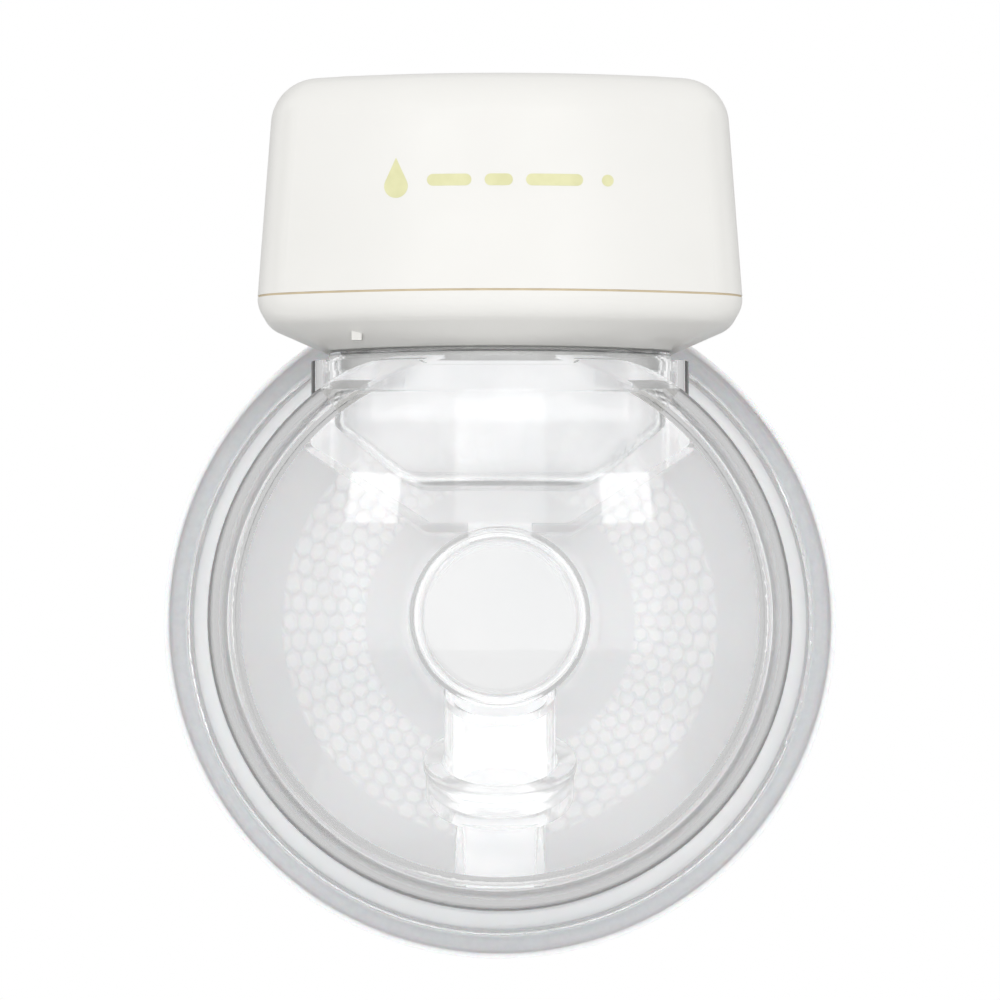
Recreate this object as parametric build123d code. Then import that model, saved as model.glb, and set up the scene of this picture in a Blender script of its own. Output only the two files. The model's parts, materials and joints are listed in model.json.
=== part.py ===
from build123d import *

import os
from math import atan2, cos, degrees, radians, sin, tan

# Wearable (in-bra) electric breast pump, worn upright with the pump unit on top.
# Units: millimetres. +X is to the right seen from the front, +Y points to the wearer, +Z is up.
# The origin is the centre of the nipple tunnel's mouth, where its straight bore opens into the cone.

# ---------------------------------------------------------------- silicone flange
TUNNEL_R = 12.0  # bore for the nipple, a 24 mm shield
TUNNEL_DEPTH = 17.0
TUNNEL_SILICONE = 0.9
MOUTH_R = 5.0  # rounding between bore and cone
CONE_ANGLE = 60.0  # half angle of the cone, from the tunnel's axis
CONE_END_R = 48.5
FLANGE_R = 56.0
FLANGE_BACK_Y = 27.0
SILICONE = 1.6
LIP_FRONT_Y = 14.8
LIP = 1.0
SLIDE_GAP = 0.3  # between soft or curved faces of pieces that come apart

# ---------------------------------------------------------------- linker
LINKER_WALL = 1.6
RIM_FRONT_Y = 18.5
RIM_BACK_Y = 21.3
LINKER_RIM_R = 51.1
TUNNEL_OUTER_R = 14.4
TUNNEL_TIP_Y = -31.0
TIP_ROUND = 3.0
SHOULDER_R = 16.9
SOCKET_TOP_Z = 42.6
SHELF_TOP_Z = 41.6
CHAMBER_HALF_WIDTH = 31.5
CHAMBER_TOP_Z = 34.6
CHAMBER_SHOULDER_Z = 27.4
CHAMBER_FOOT_HALF_WIDTH = 11.6
CHAMBER_FOOT_Z = 13.5
CHAMBER_BOWL_R = 44.8  # keeps the chamber clear of the cup's inner wall

# ---------------------------------------------------------------- collector cup
CUP_WALL = 1.8
CUP_RIM_R = 52.2
CUP_RIM_BACK_Y = 18.3
CUP_RIM_FRONT_Y = 14.6
CUP_TOP_Z = 41.8
BOWL_R = 48.8
SHOULDER_START = (47.2, -17.0)  # radius and y where the bowl's side begins to turn in
CREASE = (42.6, -28.8)  # radius and y where the turned-in side meets the front dome
FRONT_Y = -36.0
GATE_FLAT_R = 0.8  # small flat at the dome's centre, where the plastic entered the mould
GATE_R = 0.6  # stub of the mould's gate on the linker's tunnel

# Plan of the neck that the pump unit stands on: straight sides and back, and a bulged front.
NECK_HALF_WIDTH = 30.7
NECK_FRONT_R = 38.0
NECK_ARC_Y = 9.0
NECK_CORNER_R = 9.0

# Insets from the neck's outline to the pieces that stand in it, one inside the other.
SOCKET_INSET = 2.9
MEMBRANE_INSET = SOCKET_INSET + LINKER_WALL + 0.1
MEMBRANE_WALL = 1.3
BOSS_INSET = MEMBRANE_INSET + MEMBRANE_WALL + 0.5
SOCKET_BACK_Y = 8.0
MEMBRANE_BACK_Y = SOCKET_BACK_Y - LINKER_WALL - 0.2
BOSS_BACK_Y = MEMBRANE_BACK_Y - MEMBRANE_WALL - 0.5

# ---------------------------------------------------------------- duckbill valve
VALVE_TILT = 27.0  # the valve leans back to follow the cup
VALVE_TOP = (0.0, -13.5, -22.5)  # centre of the collar's top face
NECK_R = 9.0
COLLAR_R = 12.0
COLLAR_LIP_R = 12.4
COLLAR_H = 7.7
BILL_WIDTH = 14.5
BILL_END = 23.6

# ---------------------------------------------------------------- pump unit housing
SEAM_Z = 52.15
TOP_Z = 87.5
BASE_Z = 43.5
PAN_Z = 48.6  # where the lower housing's sides begin to slope in
PAN_FILLET = 4.6
SEAM_GAP = 0.35
UNIT_W = 78.4
UNIT_FRONT_Y = -33.0
UNIT_FRONT_R = 68.0  # the front bulges in plan
UNIT_BACK_Y = 12.0
UNIT_CORNER_R = 9.0
UNIT_DRAFT = 4.2
TOP_FILLET = 7.6
BASE_HALF_WIDTH = 27.8
BASE_FRONT_Y = -26.1
BASE_FRONT_R = 38.0
BASE_BACK_Y = 6.5
BASE_CORNER_R = 5.0
HOUSING_WALL = 1.8
UNIT_Y = (UNIT_FRONT_Y + UNIT_BACK_Y) / 2
BOSS_BOTTOM_Z = 40.4

# Screws that join the two housing halves.
SCREW_XY = [(-32.5, 5.5), (32.5, 5.5)]  # at the back, out of sight from the front
PEG_XY = [(-31.5, -18.5), (31.5, -18.5)]  # pegs that locate the two halves at the front
PEG_R = 1.5
PEG_REACH = 3.0
POST_R = 3.2
SCREW_R = 0.95
HEAD_R = 1.9
HEAD_H = 1.4
HEAD_SEAT_Z = 49.5

# Top panel, buttons and display.
PANEL_W, PANEL_D, PANEL_T = 57.6, 15.0, 0.8
BUTTON_X = {"power_button": -23.5, "mode_button": -13.5, "minus_button": 13.5, "plus_button": 23.5}
BUTTON_R = 4.0
BUTTON_STEM_R = 2.0
BUTTON_HOLE_R = 4.25
BUTTON_TOP_Z = TOP_Z + 0.55
BUTTON_BOTTOM_Z = 81.2
WINDOW_W, WINDOW_D = 16.0, 9.0
SWITCH_H = 0.55

# Board and charging port.
PORT_Y = -7.0
PORT_Z = 80.5
PORT_COVER_L, PORT_COVER_H = 13.0, 4.8
PORT_COVER_INNER_X = 34.8
PORT_COVER_INSET = 0.3  # the closed cover lies just below the housing's surface
HINGE_R = 0.45
HINGE_X = 36.2
HINGE_Y = PORT_Y + PORT_COVER_L / 2 - HINGE_R
HINGE_RELIEF_R = 1.3
SOCKET_H = 3.2
BOARD_T = 1.2
BOARD_TOP_Z = PORT_Z - SOCKET_H / 2
BOARD_Z = BOARD_TOP_Z - BOARD_T
BOARD_INSET = 7.4
BOARD_SCREW_XY = [(-28.0, 1.0), (22.0, 1.0)]

BATTERY_BOTTOM_Z, BATTERY_TOP_Z = 49.8, 73.5

# Vacuum pump, lying along X.
PUMP_Y, PUMP_Z = -15.6, 64.0
CAN_R, CAN_L = 10.0, 20.0
CAN_END_X = -6.0
SLEEVE_R = 11.4
HEAD_X = 21.5
HEAD_CASE_R = 10.6
CUP_CIRCLE_R = 6.2
PUMP_SCREW_CIRCLE_R = 9.0
PIVOT_X = 10.0  # fixed point that the wobble plate nods about
ECCENTRIC_X = -1.0
CRANK_OFFSET = 1.85
TUBE_R, TUBE_BORE_R = 2.0, 1.3
TUBE_BEND_R = 3.0
TUBE_LEG_X = 27.0
PORT_BLOCK_X = 14.5
PORT_BLOCK_Z = 49.0
TEE_Z = 57.0
TEE_HALF_HEIGHT = 1.4
CRANK_TILT = degrees(atan2(CRANK_OFFSET, PIVOT_X - ECCENTRIC_X))


# ================================================================ helpers
def outline(*corners):
    """Closed face through corners (u, v, radius), each corner rounded to its radius."""
    cuts = []
    for i, (u, v, radius) in enumerate(corners):
        corner = Vector(u, v)
        if radius == 0:
            cuts.append((corner, corner, corner))
            continue
        before = (Vector(*corners[i - 1][:2]) - corner).normalized()
        after = (Vector(*corners[(i + 1) % len(corners)][:2]) - corner).normalized()
        half = radians(before.get_angle(after)) / 2
        reach = radius / tan(half)
        middle = corner + (before + after).normalized() * (radius / sin(half) - radius)
        cuts.append((corner + before * reach, middle, corner + after * reach))
    edges = []
    for i, (start, middle, end) in enumerate(cuts):
        if (end - start).length > 1e-6:
            edges.append(ThreePointArc(start, middle, end))
        following = cuts[(i + 1) % len(cuts)][0]
        if (following - end).length > 1e-6:
            edges.append(Line(end, following))
    return make_face(edges)


def turned(face):
    """Solid of revolution about the tunnel's axis, from a face drawn as (radius, y)."""
    return revolve(face, Axis.Y)


def block(x0, x1, y0, y1, z0, z1):
    """Box between two corners."""
    return Pos((x0 + x1) / 2, (y0 + y1) / 2, (z0 + z1) / 2) * Box(x1 - x0, y1 - y0, z1 - z0)


def post(x, y, z0, z1, radius):
    """Upright cylinder from z0 to z1."""
    return Pos(x, y, (z0 + z1) / 2) * Cylinder(radius, z1 - z0)


def rod(x0, x1, radius, y=PUMP_Y, z=PUMP_Z):
    """Cylinder along X from x0 to x1, on the pump's axis unless told otherwise."""
    return Pos((x0 + x1) / 2, y, z) * Rot(0, 90, 0) * Cylinder(radius, x1 - x0)


def slab(face, z0, z1):
    """A plan face drawn at z = 0, raised to fill z0 to z1."""
    return extrude(Pos(0, 0, z0) * face, z1 - z0)


def cone_y(radius, offset):
    """Y of the cone at a radius, moved towards the front by offset across its face."""
    start_r = TUNNEL_R + MOUTH_R * (1 - cos(radians(CONE_ANGLE)))
    start_y = MOUTH_R * sin(radians(CONE_ANGLE))
    return start_y + (radius - start_r) / tan(radians(CONE_ANGLE)) - offset / sin(radians(CONE_ANGLE))


def neck_plan(inset, back_y):
    """Plan of the neck: straight sides and back, bulged front, rounded front corners."""
    half = NECK_HALF_WIDTH - inset
    sides = Pos(0, (back_y - 60) / 2) * Rectangle(2 * half, back_y + 60)
    front = Pos(0, NECK_ARC_Y) * Circle(NECK_FRONT_R - inset)
    plan = sides & front
    corners = [v for v in plan.vertices() if v.Y < 0]
    return fillet(corners, NECK_CORNER_R - inset)


def mirrored_prism(points, y0, y1):
    """Prism along Y over a left-right symmetric XZ outline, given as right-hand (x, z, radius)."""
    right = [(x, z, r) for x, z, r in points]
    left = [(-x, z, r) for x, z, r in reversed(points)]
    face = Plane.XZ.offset(-y0) * outline(*right, *left)
    return extrude(face, -(y1 - y0))


# ================================================================ collection kit
def silicone_flange():
    front = SILICONE
    groove_back = FLANGE_BACK_Y - 3.0
    seat_r = LINKER_RIM_R + SLIDE_GAP
    seat_y = RIM_BACK_Y + SLIDE_GAP
    inner_wall = seat_r + 1.2
    corner_r = TUNNEL_R + TUNNEL_SILICONE
    face = outline(
        (TUNNEL_R, -TUNNEL_DEPTH, 0),
        (TUNNEL_R, cone_y(TUNNEL_R, 0), MOUTH_R),
        (CONE_END_R + 1.5, cone_y(CONE_END_R + 1.5, 0), 4),
        (CONE_END_R + 3.5, FLANGE_BACK_Y, 1.5),
        (FLANGE_R, FLANGE_BACK_Y, 3.2),
        (FLANGE_R, LIP_FRONT_Y, 0.45),
        (FLANGE_R - LIP, LIP_FRONT_Y, 0.45),
        (FLANGE_R - LIP, groove_back, 1.0),
        (inner_wall, groove_back, 1.0),
        (inner_wall, RIM_FRONT_Y, 0.4),
        (seat_r, RIM_FRONT_Y, 0.3),
        (seat_r, seat_y, 0.2),
        (CONE_END_R - 1.2, seat_y, 1.0),
        (CONE_END_R - 3.2, cone_y(CONE_END_R - 3.2, front), 1.0),
        (corner_r, cone_y(corner_r, front), 4.0),
        (corner_r, -TUNNEL_DEPTH, 0),
    )
    return turned(face)


def linker_shell():
    """The turned part of the linker: rim disc, cone plate and closed tunnel."""
    back = SILICONE + SLIDE_GAP
    front = back + LINKER_WALL
    bore = TUNNEL_R + TUNNEL_SILICONE + 0.25
    shoulder_y = cone_y(SHOULDER_R, front) - 1.2
    disc_r = 46.0
    face = outline(
        (0, TUNNEL_TIP_Y, 0),
        (TUNNEL_OUTER_R, TUNNEL_TIP_Y, TIP_ROUND),
        (TUNNEL_OUTER_R, shoulder_y, 0.5),
        (SHOULDER_R, shoulder_y, 0.8),
        (SHOULDER_R, cone_y(SHOULDER_R, front), 0),
        (disc_r, cone_y(disc_r, front), 1.0),
        (disc_r, RIM_FRONT_Y, 0),
        (LINKER_RIM_R, RIM_FRONT_Y, 0.5),
        (LINKER_RIM_R, RIM_BACK_Y, 0.5),
        (disc_r + 1.4, RIM_BACK_Y, 0.8),
        (disc_r, cone_y(disc_r, back), 0.8),
        (bore, cone_y(bore, back), 4.4),
        (bore, TUNNEL_TIP_Y + LINKER_WALL, 1.5),
        (0, TUNNEL_TIP_Y + LINKER_WALL, 0),
    )
    return turned(face)


def chamber_block(inset):
    """Vacuum chamber above the tunnel: a hopper with a bulged front, kept inside the cup's bowl."""
    half, foot_half = CHAMBER_HALF_WIDTH - inset, CHAMBER_FOOT_HALF_WIDTH - inset / 2
    hopper = mirrored_prism(
        [
            (half, CHAMBER_TOP_Z - inset, 0),
            (half, CHAMBER_SHOULDER_Z + inset / 2, 1.5),
            (foot_half, CHAMBER_FOOT_Z + inset, 2.0),
        ],
        -45,
        18,
    )
    front = Pos(0, NECK_ARC_Y, 20) * Cylinder(NECK_FRONT_R - SOCKET_INSET - inset, 60)
    behind = block(-60, 60, NECK_ARC_Y, 60, -10, 60)
    bowl = Rot(90, 0, 0) * Cylinder(CHAMBER_BOWL_R - inset, 120)
    return hopper & (front + behind) & bowl


def behind_cone(offset):
    """Everything behind the cone at this offset towards the front, out to the rim."""
    face = outline(
        (0, cone_y(0, offset), 0),
        (60, cone_y(60, offset), 0),
        (60, 80, 0),
        (0, 80, 0),
    )
    return turned(face)


def valve_place(along):
    """Location on the valve's axis, a distance below the collar's top, with -Z running down the axis."""
    tilt = radians(VALVE_TILT)
    x, y, z = VALVE_TOP
    return Pos(x, y + along * sin(tilt), z - along * cos(tilt)) * Rot(VALVE_TILT, 0, 0)


def valve_tube(start, end, radius):
    """Cylinder on the valve's axis between two distances below the collar's top."""
    return valve_place((start + end) / 2) * Cylinder(radius, end - start)


def linker():
    middle = SILICONE + SLIDE_GAP + LINKER_WALL / 2  # offset of the middle of the cone plate's wall
    bore_r = TUNNEL_R + TUNNEL_SILICONE + 0.25
    back_y = RIM_FRONT_Y + 0.5
    socket = slab(neck_plan(SOCKET_INSET, SOCKET_BACK_Y), CHAMBER_TOP_Z - 1.6, SOCKET_TOP_Z)
    shelf = slab(neck_plan(CUP_WALL + SLIDE_GAP, back_y), SHELF_TOP_Z - 1.6, SHELF_TOP_Z)
    web = block(-24, 24, 8, back_y, CHAMBER_TOP_Z - 1.6, SHELF_TOP_Z)
    web_hollow = block(-22.4, 22.4, 9.6, RIM_FRONT_Y - 1, CHAMBER_TOP_Z - 3, SHELF_TOP_Z - 1.6)
    opening = neck_plan(SOCKET_INSET + LINKER_WALL, SOCKET_BACK_Y - LINKER_WALL)
    opening = slab(opening, CHAMBER_TOP_Z - 2.6, SOCKET_TOP_Z + 1)
    chamber = chamber_block(0) + socket + shelf + web
    chamber = chamber - chamber_block(LINKER_WALL) - opening - web_hollow
    neck = valve_tube(-12, 5.2, NECK_R) - Rot(90, 0, 0) * Cylinder((bore_r + TUNNEL_OUTER_R) / 2, 100)
    body = (chamber + neck) - behind_cone(middle) + linker_shell()
    passage = block(-5, 5, -25.5, -20.0, 9, CHAMBER_FOOT_Z + 3)
    drain = valve_tube(-10, 6, NECK_R - 1.4)
    gate = Pos(0, TUNNEL_TIP_Y, GATE_R) * Rot(90, 0, 0) * Cylinder(GATE_R, 0.4)  # stub left by the mould
    return body - passage - drain + gate


def diaphragm_bowl(inset):
    """Bowl of the suction diaphragm: sloping sides, and a back kept clear of the cone plate."""
    shape = mirrored_prism(
        [
            (25.9 - inset, 33.5, 0),
            (25.9 - inset, 31.0 + inset / 2, 3.0),
            (14.2 - inset / 2, 21.0 + inset, 2.5),
        ],
        -45,
        18,
    )
    plan = slab(neck_plan(MEMBRANE_INSET + inset, MEMBRANE_BACK_Y - inset), 15, 34)
    plate_front = SILICONE + SLIDE_GAP + LINKER_WALL
    return (shape & plan) - behind_cone(plate_front + 0.5 + inset)


def suction_diaphragm():
    """Silicone bowl that hangs in the linker's chamber, with a rim on the socket."""
    rim = slab(neck_plan(SOCKET_INSET + 0.05, SOCKET_BACK_Y - 0.1), SOCKET_TOP_Z, SOCKET_TOP_Z + 0.7)
    skirt = slab(neck_plan(MEMBRANE_INSET, MEMBRANE_BACK_Y), 32.6, SOCKET_TOP_Z + 0.1)
    opening = neck_plan(MEMBRANE_INSET + MEMBRANE_WALL, MEMBRANE_BACK_Y - MEMBRANE_WALL)
    opening = slab(opening, 32.5, SOCKET_TOP_Z + 2)
    return rim + skirt + diaphragm_bowl(0) - opening - diaphragm_bowl(MEMBRANE_WALL)


def duckbill_valve():
    """Collar that grips the linker's neck, and a flat bill that opens under flow."""
    spigot_gap = 0.1
    collar = valve_tube(0, COLLAR_H, COLLAR_R) + valve_tube(0, 1.6, COLLAR_LIP_R)
    ends = [e for e in collar.edges().filter_by(GeomType.CIRCLE) if e.radius > COLLAR_R - 0.5]
    collar = fillet([e for e in ends if e.center().Z < VALVE_TOP[2] - 6], 1.2)
    outer = loft(
        [
            valve_place(COLLAR_H - 1) * RectangleRounded(BILL_WIDTH, 9.0, 1.5),
            valve_place(BILL_END) * RectangleRounded(BILL_WIDTH, 2.4, 0.6),
        ]
    )
    inner = loft(
        [
            valve_place(COLLAR_H - 3) * RectangleRounded(BILL_WIDTH - 2.4, 6.6, 1.0),
            valve_place(BILL_END + 0.5) * RectangleRounded(BILL_WIDTH - 3.6, 0.3, 0.1),
        ]
    )
    socket = valve_tube(-1, 5.4, NECK_R + spigot_gap)
    return collar + outer - socket - inner


def bowl_face(inset, back_y):
    """Half section of the cup's bowl as (radius, y): side, turned-in shoulder, domed front, gate flat."""
    start_r, start_y = SHOULDER_START[0] - inset, SHOULDER_START[1]
    end_r, end_y = CREASE[0] - 0.75 * inset, CREASE[1] + 0.75 * inset
    front_y = FRONT_Y + inset
    side_r = BOWL_R - inset
    side = Line((side_r, back_y), (start_r, start_y))
    side_slope = (start_r - side_r, start_y - CUP_RIM_FRONT_Y)
    shoulder = TangentArc((start_r, start_y), (end_r, end_y), tangent=side_slope)
    rise = end_y - front_y
    dome_r = (end_r**2 + rise**2) / (2 * rise)

    def on_dome(angle):
        return (dome_r * sin(angle), front_y + dome_r * (1 - cos(angle)))

    crease_angle = atan2(end_r, dome_r - rise)
    gate = on_dome(GATE_FLAT_R / dome_r)
    dome = ThreePointArc((end_r, end_y), on_dome(crease_angle / 2), gate)
    flat = Line(gate, (0, gate[1]))
    axis = Line((0, gate[1]), (0, back_y))
    return make_face([side, shoulder, dome, flat, axis, Line((0, back_y), (side_r, back_y))])


def milk_cup():
    rim = turned(
        outline(
            (BOWL_R - 4, CUP_RIM_FRONT_Y, 0),
            (CUP_RIM_R, CUP_RIM_FRONT_Y, 0.7),
            (CUP_RIM_R, CUP_RIM_BACK_Y, 0.4),
            (BOWL_R - 4, CUP_RIM_BACK_Y, 0),
        )
    )
    outer_bowl = turned(bowl_face(0, CUP_RIM_BACK_Y))
    crease = [e for e in outer_bowl.edges() if e.is_closed and abs(e.radius - CREASE[0]) < 0.1]
    outer_bowl = fillet(crease, 1.6)
    outer = outer_bowl + rim + slab(neck_plan(0, CUP_RIM_BACK_Y), 24, CUP_TOP_Z)
    outer = outer - block(-60, 60, -60, 60, CUP_TOP_Z, 90)
    inner = turned(bowl_face(CUP_WALL, CUP_RIM_BACK_Y + 5)) - block(-60, 60, -60, 60, CUP_TOP_Z - 6, 90)
    inner = inner + slab(neck_plan(CUP_WALL, CUP_RIM_BACK_Y + 5), 24, CUP_TOP_Z + 5)
    return outer - inner


# ================================================================ pump unit housing
def centred_plan(width, depth, corner):
    """Rounded rectangle on the middle of the unit."""
    return Pos(0, UNIT_Y) * RectangleRounded(width, depth, corner)


def bulged_plan(half_width, front_y, front_r, back_y, corner):
    """Plan with straight sides and back, a bulged front, and four rounded corners."""
    sides = Pos(0, (back_y - 60) / 2) * Rectangle(2 * half_width, back_y + 60)
    front = Pos(0, front_y + front_r) * Circle(front_r)
    plan = sides & front
    return fillet(plan.vertices(), corner)


def unit_plan(inset, corner):
    """Plan of the housing at the seam, moved in by inset."""
    return bulged_plan(
        UNIT_W / 2 - inset,
        UNIT_FRONT_Y + inset,
        UNIT_FRONT_R - inset,
        UNIT_BACK_Y - inset,
        corner,
    )


def upper_block(inset):
    """Drafted block of the upper housing, its top edges rounded; inset gives the inside."""
    height = TOP_Z - inset - SEAM_Z
    lean = height * tan(radians(UNIT_DRAFT))
    corner = UNIT_CORNER_R - inset
    body = loft(
        [
            Pos(0, 0, SEAM_Z) * unit_plan(inset, corner),
            Pos(0, 0, SEAM_Z + height) * unit_plan(inset + lean, corner),
        ],
        ruled=True,
    )
    top = body.faces().sort_by(Axis.Z)[-1]
    return fillet(top.edges(), TOP_FILLET - inset)


def pan_block(inset):
    """Lower housing's block: a short upright wall over a pan that slopes in to the base."""
    turn_z = PAN_Z + inset / 2
    wide = unit_plan(inset, UNIT_CORNER_R - inset)
    base = bulged_plan(
        BASE_HALF_WIDTH - inset,
        BASE_FRONT_Y + inset,
        BASE_FRONT_R - inset,
        BASE_BACK_Y - inset,
        BASE_CORNER_R - inset / 2,
    )
    sloped = loft([Pos(0, 0, BASE_Z + inset) * base, Pos(0, 0, turn_z) * wide], ruled=True)
    body = sloped + slab(wide, turn_z, SEAM_Z - SEAM_GAP)
    turn = [e for e in body.edges() if abs(e.center().Z - turn_z) < 0.05]
    return fillet(turn, PAN_FILLET - inset)


def button_shapes(radius, z0, z1, grow=0.0):
    """One upright cylinder per button."""
    return [post(x, UNIT_Y, z0, z1, radius + grow) for x in BUTTON_X.values()]


def port_plan(length, height, corner, y=PORT_Y):
    """Rounded rectangle in the side wall's plane, centred on the charging port."""
    return Pos(y, PORT_Z) * RectangleRounded(length, height, corner)


def port_recess():
    """Rounded recess in the right-hand side that the port cover closes."""
    half = PORT_COVER_H / 2 + 0.3
    face = port_plan(PORT_COVER_L + 0.6, 2 * half, 2.2)
    recess = extrude(Plane.YZ.offset(PORT_COVER_INNER_X - 0.1) * face, 8)
    return recess + post(HINGE_X, HINGE_Y, PORT_Z - half, PORT_Z + half, HINGE_RELIEF_R)


def upper_housing():
    body = upper_block(0) - upper_block(HOUSING_WALL)
    for x, y in SCREW_XY:
        body += post(x, y, SEAM_Z, 66, POST_R) - post(x, y, SEAM_Z - 1, 60, SCREW_R + 0.05)
    for x, y in PEG_XY:
        body += post(x, y, SEAM_Z, 66, POST_R) + post(x, y, SEAM_Z - PEG_REACH, SEAM_Z + 1, PEG_R)
    for x, y in BOARD_SCREW_XY:
        body += post(x, y, BOARD_TOP_Z, TOP_Z - 1, 2.2) - post(x, y, BOARD_TOP_Z - 1, 84, 0.95)
    surround = block(33.8, 40, PORT_Y - 8, PORT_Y + 8, PORT_Z - 4, PORT_Z + 4)
    body += surround & upper_block(0.3)
    body -= slab(centred_plan(PANEL_W + 0.2, PANEL_D + 0.2, 7.0), TOP_Z - PANEL_T, TOP_Z + 1)
    body -= port_recess()
    body -= extrude(Plane.YZ.offset(30) * port_plan(9.6, 3.8, 1.8), 10)
    for hole in button_shapes(BUTTON_HOLE_R, TOP_Z - 5, TOP_Z + 2):
        body -= hole
    return body - slab(centred_plan(WINDOW_W, WINDOW_D, 1.5), TOP_Z - 5, TOP_Z + 2)


def pump_cradle():
    """Two ribs, hollowed to the sleeve round the pump's motor."""
    ribs = [block(x - 0.8, x + 0.8, PUMP_Y - 8, PUMP_Y + 8, BASE_Z + 1, 57) for x in (-23, -13)]
    return (ribs[0] + ribs[1]) - rod(-30, -5, SLEEVE_R)


def lower_housing():
    pan = pan_block(0)
    body = pan - pan_block(HOUSING_WALL)
    for x, y in SCREW_XY + PEG_XY:
        body += post(x, y, BASE_Z, SEAM_Z - SEAM_GAP, POST_R) & pan
    boss = slab(neck_plan(BOSS_INSET, BOSS_BACK_Y), BOSS_BOTTOM_Z, BASE_Z + 0.5)
    pocket = neck_plan(BOSS_INSET + HOUSING_WALL, BOSS_BACK_Y - HOUSING_WALL)
    boss_pocket = slab(pocket, BOSS_BOTTOM_Z + HOUSING_WALL, BASE_Z + 2)
    body = body + boss - boss_pocket + pump_cradle()
    body += block(8, PORT_BLOCK_X, PUMP_Y - 2.6, PUMP_Y + 2.6, BOSS_BOTTOM_Z + 1.5, PORT_BLOCK_Z + 2.4)
    body += rod(PORT_BLOCK_X - 1, TUBE_LEG_X - TUBE_BEND_R, TUBE_BORE_R, z=PORT_BLOCK_Z)
    for x in (-20, 12):
        body += block(x - 0.8, x + 0.8, 1.0, 8.0, BASE_Z + 1, BATTERY_BOTTOM_Z) & pan
    for x, y in SCREW_XY:
        body -= post(x, y, 40, HEAD_SEAT_Z, HEAD_R + 0.2) + post(x, y, 45, 55, SCREW_R + 0.2)
    for x, y in PEG_XY:
        body -= post(x, y, SEAM_Z - PEG_REACH - 0.4, SEAM_Z, PEG_R + 0.1)
    return body - rod(10.8, 25, 0.7, z=PORT_BLOCK_Z) - post(11.5, PUMP_Y, 38, PORT_BLOCK_Z, 0.7)


def seam_gasket():
    """Thin coloured gasket in the seam between the two housing halves."""
    ring = unit_plan(0.15, UNIT_CORNER_R - 0.15) - unit_plan(1.7, UNIT_CORNER_R - 1.7)
    return slab(ring, SEAM_Z - SEAM_GAP, SEAM_Z)


def housing_screws():
    screws = []
    for x, y in SCREW_XY:
        head = post(x, y, HEAD_SEAT_Z - HEAD_H, HEAD_SEAT_Z, HEAD_R)
        drive = slab(Pos(x, y) * RegularPolygon(0.9, 6), HEAD_SEAT_Z - HEAD_H, HEAD_SEAT_Z - 0.6)
        screws.append(head + post(x, y, HEAD_SEAT_Z, 58.5, SCREW_R) - drive)
    return Compound(children=screws)


def control_panel():
    """Gloss overlay let into the top, with holes for the buttons and a clear place for the display."""
    plate = slab(centred_plan(PANEL_W, PANEL_D, 6.9), TOP_Z - PANEL_T, TOP_Z)
    for hole in button_shapes(BUTTON_HOLE_R, TOP_Z - 2, TOP_Z + 1):
        plate -= hole
    return plate - slab(centred_plan(WINDOW_W, WINDOW_D, 1.5), TOP_Z - 2, TOP_Z + 1)


def display_window():
    return slab(centred_plan(WINDOW_W - 0.1, WINDOW_D - 0.1, 1.45), TOP_Z - 1.9, TOP_Z)


def button(x, mark):
    """Round push button with a retaining flange, a stem to its switch, and its raised mark."""
    inner_top = TOP_Z - HOUSING_WALL
    cap = post(x, UNIT_Y, inner_top - 1.2, BUTTON_TOP_Z, BUTTON_R)
    cap = fillet(cap.edges().sort_by(Axis.Z)[-1], 0.5)
    flange = post(x, UNIT_Y, inner_top - 1.2, inner_top - 0.3, BUTTON_R + 0.6)
    stem = post(x, UNIT_Y, BUTTON_BOTTOM_Z, inner_top - 1, BUTTON_STEM_R)
    return cap + flange + stem + slab(Pos(x, UNIT_Y) * mark, BUTTON_TOP_Z - 0.2, BUTTON_TOP_Z + 0.15)


def power_mark():
    ring = Circle(1.7) - Circle(1.25) - Pos(0, 1.5) * Rectangle(1.3, 1.6)
    return ring + Pos(0, 1.3) * Rectangle(0.45, 1.7)


def mode_mark():
    """Three bars of rising height."""
    bars = [Pos(x, h / 2 - 1.3) * Rectangle(0.55, h) for x, h in ((-1.2, 1.2), (0, 1.9), (1.2, 2.6))]
    return bars[0] + bars[1] + bars[2]


def minus_mark():
    return Rectangle(2.8, 0.5)


def plus_mark():
    return Rectangle(2.8, 0.5) + Rectangle(0.5, 2.8)


MARKS = {
    "power_button": power_mark,
    "mode_button": mode_mark,
    "minus_button": minus_mark,
    "plus_button": plus_mark,
}


def keypad_mat():
    """Silicone sheet with a dome over each switch."""
    bottom = BOARD_TOP_Z + SWITCH_H + 0.1
    sheet = slab(centred_plan(51.6, 12, 3) - centred_plan(18, 14, 1), bottom, bottom + 0.5)
    for dome in button_shapes(2.2, bottom + 0.4, bottom + 0.8):
        sheet += dome
    return sheet


def port_cover():
    """Silicone flap over the charging port, with a stub that plugs its mouth and a hinge barrel."""
    length = HINGE_Y - (PORT_Y - PORT_COVER_L / 2)
    plate = port_plan(length, PORT_COVER_H, 2.0, HINGE_Y - length / 2)
    flap = extrude(Plane.YZ.offset(PORT_COVER_INNER_X) * plate, 8) & upper_block(PORT_COVER_INSET)
    stub = extrude(Plane.YZ.offset(PORT_COVER_INNER_X - 1.2) * port_plan(7.6, 2.4, 1.1), 1.3)
    barrel = post(HINGE_X, HINGE_Y, PORT_Z - 1.4, PORT_Z + 1.4, HINGE_R)
    return flap + stub + barrel


# ================================================================ electronics
def main_board():
    board = slab(unit_plan(BOARD_INSET, 2.5), BOARD_Z, BOARD_TOP_Z)
    for x, y in BOARD_SCREW_XY:
        board -= post(x, y, 70, 82, 1.1)
    return board


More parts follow.
